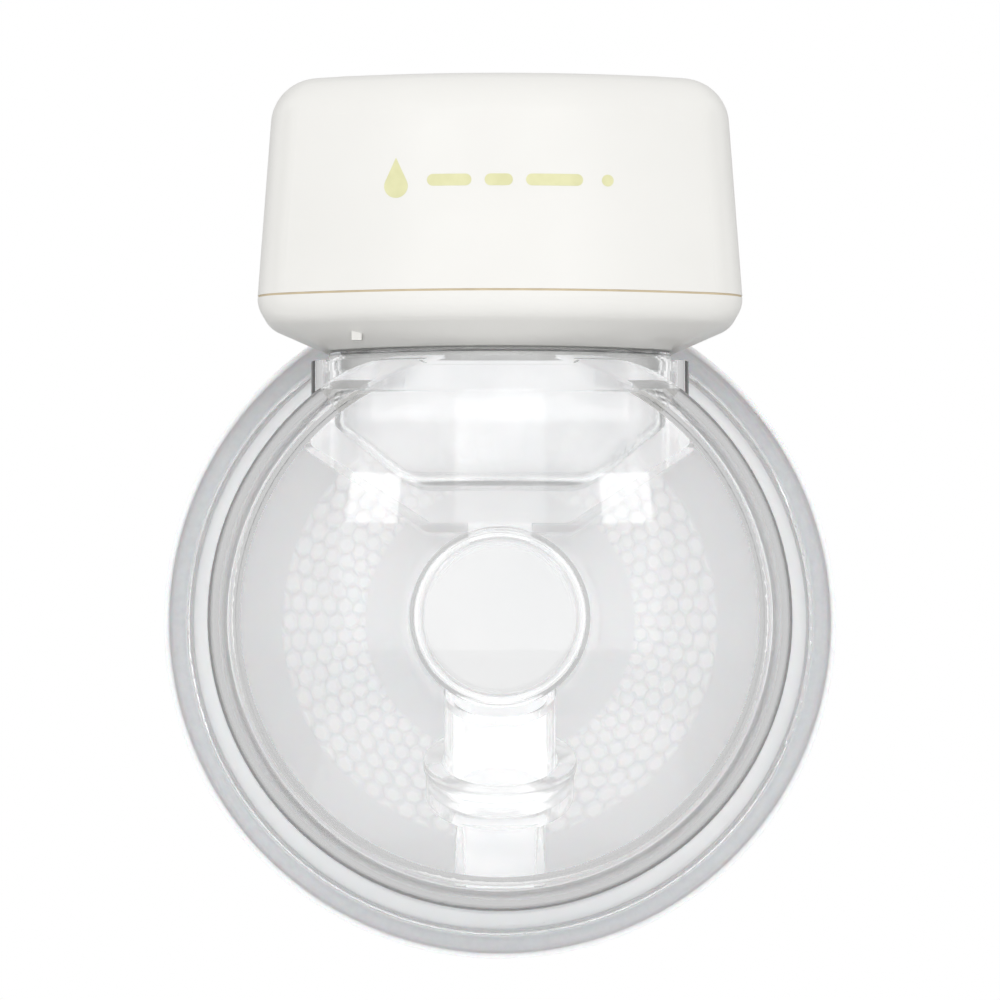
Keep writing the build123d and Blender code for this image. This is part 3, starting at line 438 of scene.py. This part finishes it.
def ring_faces(loops, points, closed):
    """Quads between successive loops of points; closed joins the last loop to the first."""
    faces = []
    for i in range(loops if closed else loops - 1):
        a, b = i * points, ((i + 1) % loops) * points
        for k in range(points):
            n = (k + 1) % points
            faces.append((a + k, a + n, b + n, b + k))
    return faces


def smoothstep(value, low, high):
    """0 below low, 1 above high, and a smooth rise between them."""
    t = min(max((value - low) / (high - low), 0.0), 1.0)
    return t * t * (3 - 2 * t)


# ================================================================ silicone flange
def cone_y(radius, offset=0.0):
    """Y of the cone's skin side at a radius, moved towards the front by offset across its face."""
    return CONE_START[1] + (radius - CONE_START[0]) / tan(CONE_ANGLE) - offset / sin(CONE_ANGLE)


def cell_shape(angle, radius):
    """Shares of a cell's height and of a groove's depth at a place on the cone."""
    column = angle / (2 * pi) * CELL_COLUMNS
    row = (radius - CELL_FIRST_R) / CELL_PITCH
    nearest = 1.0
    for k in (int(column // 1), int(column // 1) + 1):
        shift = 0.5 if k % 2 else 0.0
        across = abs(column - k) * sqrt(3) / 2
        along = abs(row - shift - round(row - shift))
        nearest = min(nearest, max(along, along / 2 + across * sqrt(3) / 2))
    inside = smoothstep(min(radius - CELL_RING[0], CELL_RING[1] - radius), 0, 0.3)
    raised = 1 - smoothstep(nearest, 0.5 - 1.7 * CELL_GROOVE, 0.5 - 0.5 * CELL_GROOVE)
    return inside * raised, inside * (1 - raised)


def flange_outline():
    """Section of the flange as (radius, y) points, once round the wall."""

    def on_front(radius):
        return cone_y(radius, SILICONE)

    return rounded(
        [
            (TUNNEL_R, TUNNEL_FRONT_Y, 0.3),
            (TUNNEL_R, cone_y(TUNNEL_R), 5.0),
            (50.0, cone_y(50.0), 4.0),
            (52.0, FLANGE_BACK_Y, 1.5),
            (FLANGE_R, FLANGE_BACK_Y, 3.2),
            (FLANGE_R, LIP_FRONT_Y, 0.45),
            (FLANGE_R - LIP_WALL, LIP_FRONT_Y, 0.45),
            (FLANGE_R - LIP_WALL, FLANGE_BACK_Y - 3.0, 1.0),
            (SEAT_R + 1.2, FLANGE_BACK_Y - 3.0, 1.0),
            (SEAT_R + 1.2, GRIP_FRONT_Y, 0.4),
            (SEAT_R, GRIP_FRONT_Y, 0.3),
            (SEAT_R, SEAT_Y, 0.2),
            (47.3, SEAT_Y, 1.0),
            (45.3, on_front(45.3), 1.0),
            (TUNNEL_R + TUNNEL_WALL, on_front(TUNNEL_R + TUNNEL_WALL), 4.0),
            (TUNNEL_R + TUNNEL_WALL, TUNNEL_FRONT_Y, 0.3),
        ]
    )


def make_flange():
    """Breast shield with raised hexagonal cells moulded into both faces of its cone."""

    def step_at(radius):
        return FINE_STEP if CELL_RING[0] < radius < CELL_RING[1] else COARSE_STEP

    outline = subdivided(flange_outline(), step_at)
    segments = CELL_COLUMNS * CELL_STEPS
    count = len(outline)
    vertices, cells = [], []
    for i, point in enumerate(outline):
        along = (outline[(i + 1) % count] - outline[i - 1]).normalized()
        outward = Vector((-along.y, along.x))
        on_cone = CELL_RING[0] < point.x < CELL_RING[1]
        height = CELL_BACK_HEIGHT if outward.y > 0 else CELL_FRONT_HEIGHT
        for k in range(segments):
            angle = 2 * pi * k / segments
            cell, groove = cell_shape(angle, point.x) if on_cone else (0.0, 0.0)
            radius, y = point + outward * (height * cell - CELL_SINK * groove)
            vertices.append((radius * cos(angle), y, radius * sin(angle)))
            cells.append(cell)
    piece = new_object(
        "flange_skin",
        vertices,
        ring_faces(count, segments, True),
        FINISHES["milky_silicone"],
        "flange",
    )
    # cell mask, which the flange material uses for its painted groove shade and painted glow
    piece.data.attributes.new(CELL_ATTRIBUTE, "FLOAT", "POINT").data.foreach_set("value", cells)
    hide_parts("silicone_flange")


# ================================================================ suction diaphragm
def bag_plan(half, front_r, back_y, corner):
    """Rounded outline of one level of the bag: straight back and sides, bulged front."""
    corner = min(corner, half * 0.6)
    edge_y = BAG_ARC_Y - sqrt(front_r**2 - half**2)
    front = []
    inner = half * 0.8
    for k in range(FRONT_POINTS):
        x = inner - 2 * inner * k / (FRONT_POINTS - 1)
        front.append((x, BAG_ARC_Y - sqrt(front_r**2 - x**2), 0))
    corners = [(half, back_y, min(1.0, corner)), (half, edge_y, corner * 0.55), *front]
    corners += [(-half, edge_y, corner * 0.55), (-half, back_y, min(1.0, corner))]
    outline = rounded(corners)
    lengths = [0.0]
    for i, point in enumerate(outline):
        lengths.append(lengths[-1] + (outline[(i + 1) % len(outline)] - point).length)
    points, i = [], 0
    for k in range(BAG_POINTS):
        target = lengths[-1] * k / BAG_POINTS
        while lengths[i + 1] < target:
            i += 1
        share = (target - lengths[i]) / max(lengths[i + 1] - lengths[i], 1e-9)
        points.append(outline[i].lerp(outline[(i + 1) % len(outline)], share))
    return points


def bag_half_width(z, inset):
    """Half width of the bag at a height: upright skirt, then sides that slope in to the foot."""
    half, shoulder_z = BAG_SHOULDER
    foot_half, foot_z = BAG_FOOT
    slope = (half - foot_half) / (shoulder_z - foot_z)
    eased = smoothstep(z, shoulder_z - 1.5, shoulder_z + 1.5)
    sloping = half - slope * (shoulder_z - z)
    return sloping * (1 - eased) + BAG_HALF_WIDTH * eased - inset


def bag_level(z, inset, pulled_in):
    """Loop of points at height z, inset from the bag's outside and pulled in further near the foot."""
    half = bag_half_width(z, inset) - pulled_in
    front_r = BAG_FRONT_R - inset - pulled_in
    plan = bag_plan(half, front_r, BAG_BACK_Y - inset - pulled_in, BAG_CORNER_R)
    limit = PLATE_OFFSET + inset + pulled_in
    return [(p.x, min(p.y, cone_y(hypot(p.x, z), limit)), z) for p in plan]


def foot_levels(foot_z, inset, round_r):
    """Levels of the rounded foot, from its flat bottom up."""
    for k in range(FOOT_STEPS + 1):
        angle = pi / 2 * k / FOOT_STEPS
        yield foot_z + round_r * (1 - cos(angle)), inset, round_r * (1 - sin(angle))


def bag_profile():
    """Levels of the bag as (height, inset, pulled in): up the outside, over the bead, down the inside."""
    bead = BAG_BEAD
    edge = BAG_BEAD_ROUND
    levels = list(foot_levels(BAG_FOOT[1], 0.0, BAG_FOOT_ROUND))
    levels += [(z, 0.0, 0.0) for z in (*BAG_SIDE_Z, BAG_RIM_Z - edge)]
    levels += [(BAG_RIM_Z, -0.2, 0.0)]
    levels += [(BAG_RIM_Z + 0.05, -bead + edge, 0.0), (BAG_RIM_Z + 0.2, -bead, 0.0)]
    levels += [(BAG_TOP_Z - 0.2, -bead, 0.0), (BAG_TOP_Z, -bead + edge, 0.0)]
    levels += [(BAG_TOP_Z, BAG_WALL - edge, 0.0), (BAG_TOP_Z - 0.2, BAG_WALL, 0.0)]
    levels += [(z, BAG_WALL, 0.0) for z in BAG_SIDE_Z[::-1]]
    levels += list(foot_levels(BAG_FOOT[1] + BAG_WALL, BAG_WALL, BAG_FOOT_ROUND - 1))[::-1]
    return levels


def close_floor(points, faces, first, flipped):
    """Closes the loop of points that starts at first with shrinking rings and a middle point."""
    floor = points[first : first + BAG_POINTS]
    middle = (0.0, sum(p[1] for p in floor) / BAG_POINTS, floor[0][2])
    previous = first
    for ring in range(1, FLOOR_RINGS):
        share = 1 - ring / FLOOR_RINGS
        start = len(points)
        points += [tuple(m + (c - m) * share for c, m in zip(p, middle)) for p in floor]
        for k in range(BAG_POINTS):
            n = (k + 1) % BAG_POINTS
            quad = (previous + k, previous + n, start + n, start + k)
            faces.append(quad[::-1] if flipped else quad)
        previous = start
    points.append(middle)
    for k in range(BAG_POINTS):
        n = (k + 1) % BAG_POINTS
        fan = (previous + k, previous + n, len(points) - 1)
        faces.append(fan[::-1] if flipped else fan)


def make_diaphragm():
    """Thin bag with a bead on its rim, closed at the foot inside and out."""
    points = []
    levels = bag_profile()
    for z, inset, pulled_in in levels:
        points += bag_level(z, inset, pulled_in)
    faces = ring_faces(len(levels), BAG_POINTS, False)
    last = len(points) - BAG_POINTS
    close_floor(points, faces, 0, True)
    close_floor(points, faces, last, False)
    piece = new_object(
        "diaphragm_skin",
        points,
        faces,
        FINISHES["thin_silicone"],
        "linker_kit",
    )
    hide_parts("suction_diaphragm")


# ================================================================ duckbill valve
VALVE_POINTS = 120
# (distance down the axis, half width, half depth, squareness: 2 is an ellipse, larger is boxier)
VALVE_OUTSIDE = [
    (0.0, 11.9, 11.9, 2),
    (0.25, 12.3, 12.3, 2),
    (0.6, 12.4, 12.4, 2),
    (1.3, 12.4, 12.4, 2),
    (1.6, 12.25, 12.25, 2),
    (1.75, 12.0, 12.0, 2),
    (3.0, 11.95, 11.95, 2),
    (5.4, 11.95, 11.95, 2),
    (6.5, 12.0, 12.0, 2),
    (7.1, 11.8, 11.8, 2),
    (7.5, 11.3, 11.3, 2),
    (7.7, 10.6, 10.6, 2),
    (7.75, 9.3, 8.6, 2.4),
    (7.85, 8.1, 6.0, 3.5),
    (8.2, 7.5, 4.8, 6),
    (9.0, 7.3, 4.45, 8),
    (12.0, 7.25, 3.7, 8),
    (16.0, 7.25, 2.85, 8),
    (20.0, 7.25, 1.95, 8),
    (21.9, 7.25, 1.5, 8),
    (22.1, 7.35, 1.55, 8),
    (23.3, 7.35, 1.35, 8),
    (23.6, 7.15, 1.1, 8),
]
VALVE_INSIDE = [
    (23.6, 5.6, 0.2, 8),
    (23.0, 5.55, 0.18, 8),
    (20.0, 5.75, 0.8, 8),
    (16.0, 5.9, 1.6, 8),
    (12.0, 6.0, 2.4, 8),
    (8.6, 6.1, 3.1, 8),
    (6.6, 6.3, 3.6, 6),
    (6.2, 6.8, 4.4, 4),
    (6.0, 7.6, 6.6, 2.4),
    (5.8, 8.8, 8.8, 2),
    (5.4, 9.1, 9.1, 2),
    (1.0, 9.1, 9.1, 2),
    (0.3, 9.3, 9.3, 2),
    (0.0, 9.6, 9.6, 2),
]


def superellipse(half_width, half_depth, squareness):
    """Loop of points between an ellipse and a rounded box."""
    points = []
    for k in range(VALVE_POINTS):
        angle = 2 * pi * (k + 0.5) / VALVE_POINTS
        c, s = cos(angle), sin(angle)
        power = 2 / squareness
        points.append(
            (
                half_width * (abs(c) ** power) * (1 if c > 0 else -1),
                half_depth * (abs(s) ** power) * (1 if s > 0 else -1),
            )
        )
    return points


def make_valve():
    """Collar and flat bill as one hollow skin, laid along the valve's tilted axis."""
    down = Vector((0, sin(VALVE_TILT), -cos(VALVE_TILT)))
    deep = Vector((0, cos(VALVE_TILT), sin(VALVE_TILT)))
    vertices = []
    levels = VALVE_OUTSIDE + VALVE_INSIDE
    for along, half_width, half_depth, squareness in levels:
        for across, back in superellipse(half_width, half_depth, squareness):
            vertices.append(VALVE_TOP + Vector((across, 0, 0)) + deep * back + down * along)
    piece = new_object(
        "valve_skin",
        vertices,
        ring_faces(len(levels), VALVE_POINTS, True),
        VALVE_SILICONE,
        "linker_kit",
    )
    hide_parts("duckbill_valve")


# ================================================================ printed and lit shapes
FULL_ROUND = 0.999  # a bar's fully round end, as a share of half its height, so that no edge vanishes
CAP_STEPS = 12
BAND_STEPS = 32
DROP_STEPS = 24
DROP_START = -205  # degrees at which the drop's round bottom begins
DROP_SWEEP = 230  # degrees of its round bottom
INK_THICKNESS = 0.06
INK_ON_SHELL = 0.03  # how far the printed mark stands out of the housing
INK_ON_KEY = 0.02  # how far an icon stands out of its button
SHORT_BAR = 0.8  # longest straight piece of a bar that follows the curved front
SQUARE_END = 0.001  # corner radius of a piece that meets its neighbour

MARK_DROP = (-16.6, -0.9, 1.9, 4.6)  # x, height beside the bars, radius, height of the point
MARK_BARS = ((-11.6, -4.6), (-2.4, 2.0), (4.2, 13.2))  # left and right ends
MARK_DOT_X = 17.2
MARK_R = 0.95  # half the bars' height
MARK_CAP = 0.9  # from a bar's end to the centre of its round cap

LIT_DEPTH = 2.12  # from the housing's top down to the lit shapes
LIT_DROP = (-5.4, -0.5, 0.9, 2.1)
LIT_BARS = 5
LIT_BAR_FIRST = (-2.6, -1.3)  # centre of the shortest bar
LIT_BAR_STEP = (1.7, 0.35)  # from one bar's centre to the next
LIT_BAR_WIDTH = 1.0
LIT_BAR_HEIGHT = 1.2
LIT_BAR_GROWTH = 0.7  # how much taller each bar is than the one before
LIT_BAR_CORNER = 0.15


def bar(x, y, width, height, corner=None):
    """Rounded bar about a centre, as an outline."""
    corner = corner or min(width, height) / 2 * FULL_ROUND
    w, h = width / 2, height / 2
    corners = [(x - w, y - h), (x + w, y - h), (x + w, y + h), (x - w, y + h)]
    return rounded([(u, v, corner) for u, v in corners])


def arc_cap(x, y, radius, start):
    """Half disc that closes a bar's end, starting at an angle in degrees."""
    outline = []
    for k in range(CAP_STEPS + 1):
        angle = radians(start + 180 * k / CAP_STEPS)
        outline.append(Vector((x + radius * cos(angle), y + radius * sin(angle))))
    return outline


def drop(x, y, radius, height):
    """Plain milk drop: a round bottom drawn up to a point."""
    outline = []
    for k in range(DROP_STEPS + 1):
        angle = radians(DROP_START + DROP_SWEEP * k / DROP_STEPS)
        outline.append(Vector((x + radius * cos(angle), y + radius * sin(angle))))
    outline.append(Vector((x, y + height)))
    return outline


def arc_band(x, y, radius, width, start, end):
    """Band along an arc, from one angle to another, in degrees."""
    outline = []
    for edge, order in ((radius + width / 2, 1), (radius - width / 2, -1)):
        for k in range(BAND_STEPS + 1)[::order]:
            angle = radians(start + (end - start) * k / BAND_STEPS)
            outline.append(Vector((x + edge * cos(angle), y + edge * sin(angle))))
    return outline


def inlay(name, outlines, place, material, body):
    """Thin closed plates over flat outlines; place maps an outline's point and depth to the frame."""
    vertices, faces = [], []
    for outline in outlines:
        start, count = len(vertices), len(outline)
        vertices += [place(p, 0.0) for p in outline] + [place(p, INK_THICKNESS) for p in outline]
        faces.append(tuple(range(start, start + count)))
        faces.append(tuple(range(start + count, start + 2 * count))[::-1])
        for k in range(count):
            n = (k + 1) % count
            faces.append((start + n, start + k, start + count + k, start + count + n))
    piece = new_object(name, vertices, faces, material, body)
    piece.data.shade_flat()
    return piece


def on_unit_front(point, depth):
    """A point drawn as (x, z) laid on the housing's bulged front, depth behind its surface."""
    lean = (point.y - SEAM_Z) * tan(UNIT_DRAFT)
    y = UNIT_FRONT_CENTRE_Y - sqrt((UNIT_FRONT_R - lean) ** 2 - point.x**2)
    return (point.x, y - INK_ON_SHELL + depth, point.y)


def short_bars(x0, x1, y, height):
    """A long bar cut into short lengths end to end, so that it follows a curved face."""
    count = max(1, round((x1 - x0) / SHORT_BAR))
    size = (x1 - x0) / count
    return [bar(x0 + size * (k + 0.5), y, size, height, SQUARE_END) for k in range(count)]


def make_front_mark():
    """Generic mark: one milk drop, then plain bars."""
    drop_x, drop_rise, drop_r, drop_height = MARK_DROP
    shapes = [drop(drop_x, MARK_Z + drop_rise, drop_r, drop_height)]
    for left, right in MARK_BARS:
        start, end = left + MARK_CAP, right - MARK_CAP
        shapes += short_bars(start, end, MARK_Z, 2 * MARK_R)
        shapes += [arc_cap(start, MARK_Z, MARK_R, 90), arc_cap(end, MARK_Z, MARK_R, -90)]
    right_half = arc_cap(MARK_DOT_X, MARK_Z, MARK_R, -90)
    left_half = arc_cap(MARK_DOT_X, MARK_Z, MARK_R, 90)
    shapes.append(right_half + left_half[1:-1])
    inlay("front_mark", shapes, on_unit_front, MARK_INK, "pump_unit")


def make_key_icons():
    """Plain icons on the four buttons: power ring, three lines, minus and plus."""
    icons = {
        "power_key": [arc_band(0, 0, 1.45, 0.4, 125, 415), bar(0, 1.3, 0.4, 1.6)],
        "mode_key": [bar(0, y, 2.6, 0.4) for y in (-0.9, 0.0, 0.9)],
        "minus_key": [bar(0, 0, 2.6, 0.42)],
        "plus_key": [bar(0, 0, 2.6, 0.42), bar(0, 0.76, 0.42, 1.08), bar(0, -0.76, 0.42, 1.08)],
    }
    for body, outlines in icons.items():

        def on_key(point, depth, x=KEY_X[body]):
            return (x + point.x, UNIT_Y + point.y, ICON_Z + INK_ON_KEY - depth)

        inlay(body.replace("key", "icon"), outlines, on_key, ICON_INK, body)


def make_display_bars():
    """Lit level bars and a small drop on the display, under the smoked window."""
    shapes = [drop(*LIT_DROP)]
    for k in range(LIT_BARS):
        x = LIT_BAR_FIRST[0] + LIT_BAR_STEP[0] * k
        y = LIT_BAR_FIRST[1] + LIT_BAR_STEP[1] * k
        shapes.append(bar(x, y, LIT_BAR_WIDTH, LIT_BAR_HEIGHT + LIT_BAR_GROWTH * k, LIT_BAR_CORNER))

    def on_display(point, depth):
        return (point.x, UNIT_Y + point.y, UNIT_TOP_Z - LIT_DEPTH - depth)

    inlay("display_bars", shapes, on_display, LIT_INK, "pump_unit")


make_flange()
make_diaphragm()
make_valve()
make_front_mark()
make_key_icons()
make_display_bars()


# ================================================================ stage, lights and camera
# Sizes in this section are in metres.
FLOOR_Z = -0.75
FLOOR_SEGMENTS = 96
FLOOR_EDGE = [(2.0, 0.0), (4.0, 0.0), (5.2, 0.02), (5.8, 0.1), (6.0, 0.2)]  # radius and rise
CARD_Y = 0.3
CARD_HALF = 0.5
LAMP_SIDES = ((-1, "left"), (1, "right"))
AIM = Vector((0, 0.015, 0.0203))
CAMERA_DISTANCE = 1.0
CAMERA_TILT = radians(2.2)  # the camera looks slightly up


def make_floor():
    """Wide pale disc well below the object, with a gently turned-up edge."""
    vertices = []
    for radius, rise in FLOOR_EDGE:
        for k in range(FLOOR_SEGMENTS):
            angle = 2 * pi * k / FLOOR_SEGMENTS
            vertices.append((radius * cos(angle), radius * sin(angle), FLOOR_Z + rise))
    faces = ring_faces(len(FLOOR_EDGE), FLOOR_SEGMENTS, False)
    vertices.append((0, 0, FLOOR_Z))
    faces += [(k, (k + 1) % FLOOR_SEGMENTS, len(vertices) - 1) for k in range(FLOOR_SEGMENTS)]
    mesh = bpy.data.meshes.new("floor")
    mesh.from_pydata(vertices, [], faces)
    mesh.materials.append(FLOOR_PAINT)
    floor = bpy.data.objects.new("floor", mesh)
    bpy.context.scene.collection.objects.link(floor)


def soft_light(name, place, aim, size, power, mirrored=True):
    """Rectangular soft light at a place, turned to face aim, unseen by the camera itself.

    mirrored tells whether glossy surfaces show its reflection.
    """
    data = bpy.data.lights.new(name, "AREA")
    data.shape = "RECTANGLE"
    data.size, data.size_y = size
    data.energy = power
    lamp = bpy.data.objects.new(name, data)
    lamp.location = place
    lamp.rotation_euler = (Vector(aim) - Vector(place)).to_track_quat("-Z", "Y").to_euler()
    lamp.visible_camera = False
    lamp.visible_glossy = mirrored
    bpy.context.scene.collection.objects.link(lamp)
    return lamp


def hidden_card(name, vertices, material):
    """Flat card that the camera doesn't see, only reflections and clear parts."""
    mesh = bpy.data.meshes.new(name)
    mesh.from_pydata(vertices, [], [(0, 1, 2, 3)])
    mesh.materials.append(material)
    card = bpy.data.objects.new(name, mesh)
    card.visible_camera = False
    bpy.context.scene.collection.objects.link(card)
    return card


def dark_flag(name, x, width, height):
    """Dark card beside the object, which gives its rims a dark edge."""
    vertices = [(x, -width / 2, -height / 2), (x, width / 2, -height / 2)]
    vertices += [(x, width / 2, height / 2), (x, -width / 2, height / 2)]
    hidden_card(name, vertices, FINISHES["foam_black"])


def grey_card():
    """Grey card behind the object, seen through its clear parts as a studio sweep would be."""
    vertices = [(-CARD_HALF, CARD_Y, -CARD_HALF), (CARD_HALF, CARD_Y, -CARD_HALF)]
    vertices += [(CARD_HALF, CARD_Y, CARD_HALF), (-CARD_HALF, CARD_Y, CARD_HALF)]
    card = hidden_card("grey_card", vertices, CARD_PAINT)
    card.visible_shadow = False


make_floor()
grey_card()
soft_light("front_light", (0.0, -1.7, 0.45), (0, 0, 0.0), (1.6, 1.2), 8.0, mirrored=False)
soft_light("low_light", (0.0, -1.2, -0.65), (0, 0, -0.02), (1.4, 0.7), 2.8, mirrored=False)
for side, tag in LAMP_SIDES:
    soft_light(f"strip_{tag}", (side * 0.75, 0.12, 0.0), (0, 0, 0), (0.08, 1.5), 0.8)
    soft_light(f"window_{tag}", (side * 0.39, -1.07, 0.39), (0, 0, 0), (0.16, 0.16), 0.22)
    dark_flag(f"flag_{tag}", side * 0.7, 0.22, 0.9)

world = bpy.data.worlds.new("white_room")
world.use_nodes = True
world.node_tree.nodes["Background"].inputs["Color"].default_value = (1, 1, 1, 1)
world.node_tree.nodes["Background"].inputs["Strength"].default_value = 1.0
bpy.context.scene.world = world

camera = bpy.data.objects.new("camera", bpy.data.cameras.new("camera"))
camera.data.lens = 216
camera.data.sensor_width = 36
camera.data.clip_end = 50
camera.location = AIM - CAMERA_DISTANCE * Vector((0, cos(CAMERA_TILT), sin(CAMERA_TILT)))
camera.rotation_euler = (pi / 2 + CAMERA_TILT, 0, 0)
bpy.context.scene.collection.objects.link(camera)
bpy.context.scene.camera = camera

bpy.context.scene.view_settings.view_transform = "Standard"
bpy.context.scene.cycles.max_bounces = 20
bpy.context.scene.cycles.transmission_bounces = 20
